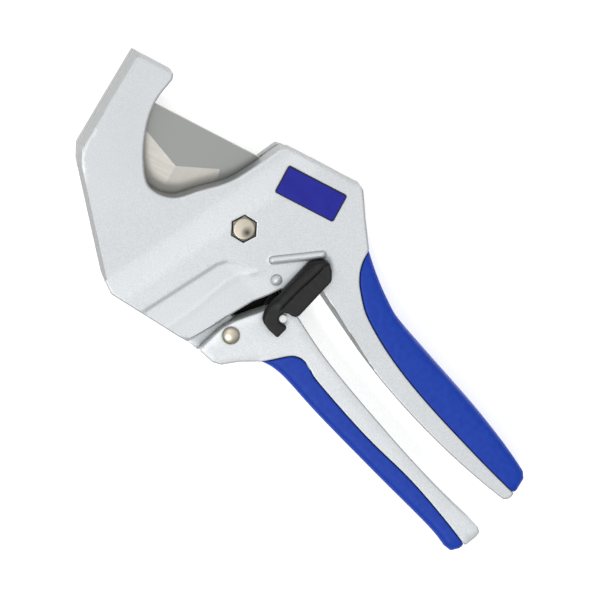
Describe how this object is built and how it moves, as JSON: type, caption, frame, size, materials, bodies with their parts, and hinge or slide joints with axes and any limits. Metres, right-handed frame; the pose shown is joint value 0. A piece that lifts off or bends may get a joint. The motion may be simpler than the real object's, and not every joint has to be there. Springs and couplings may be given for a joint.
{
  "type": "ratchet pipe cutter",
  "caption": "Hand-held ratchet cutter for plastic pipe with a hooked jaw, toothed swinging blade, squeeze lever with pawl, black locking latch and blue grips.",
  "frame": {"origin": "centre of the whole cutter's outline on the plane it lies on", "axes": "+X from the hooked jaw to the ends of the handles, +Y from the lever to the fixed handle, +Z out of the front face, away from the surface it lies on"},
  "size_m": [0.2433, 0.1028, 0.0232],
  "materials": {
    "cast_alloy": "fine silver paint on die-cast alloy",
    "blade_steel": "satin ground steel with brighter bevels",
    "plated_steel": "warm nickel plate",
    "spring_steel": "drawn wire and pins",
    "black_steel": "black oxide",
    "latch_plastic": "moulded near-black plastic",
    "grip_rubber": "satin blue",
    "label": "deep blue label with a thin dark border"
  },
  "bodies": {
    "body": {"front_body": "cast_alloy", "rear_body": "cast_alloy", "blade_bolt": "plated_steel", "blade_bush": "plated_steel", "blade_nut": "plated_steel", "blade_spring": "spring_steel", "blade_stop_pin": "spring_steel", "lever_rivet": "plated_steel", "lever_washer": "spring_steel", "latch_pin": "plated_steel", "latch_spring_washer": "spring_steel", "fixed_grip": "grip_rubber", "label_plate": "label", "body_screws": "plated_steel", "dowel_pins": "spring_steel", "handle_pins": "spring_steel"},
    "lever": {"lever": "cast_alloy", "lever_grip": "grip_rubber", "lever_spring": "spring_steel", "pawl_pin": "spring_steel", "pawl_spring": "spring_steel"},
    "pawl": {"pawl": "black_steel"},
    "blade": {"blade": "blade_steel"},
    "latch": {"latch": "latch_plastic"}
  },
  "joints": [
    {"name": "lever_swing", "type": "hinge", "parent": "body", "child": "lever", "pos_m": [-0.0104, -0.02705, 0.009], "axis": [0, 0, -1], "range_deg": [0, 20]},
    {"name": "pawl_swing", "type": "hinge", "parent": "lever", "child": "pawl", "pos_m": [-0.0018, -0.01965, 0.007], "axis": [0, 0, 1], "range_deg": [0, 36]},
    {"name": "blade_swing", "type": "hinge", "parent": "body", "child": "blade", "pos_m": [-0.0398, 0.00535, 0.007], "axis": [0, 0, -1], "range_deg": [0, 58]},
    {"name": "latch_swing", "type": "hinge", "parent": "body", "child": "latch", "pos_m": [-0.0048, 0.00835, 0.02], "axis": [0, 0, -1], "range_deg": [0, 17]}
  ],
  "couplings": [
    {"joint": "pawl_swing", "follows": "lever_swing", "ratio": 1.8}
  ]
}
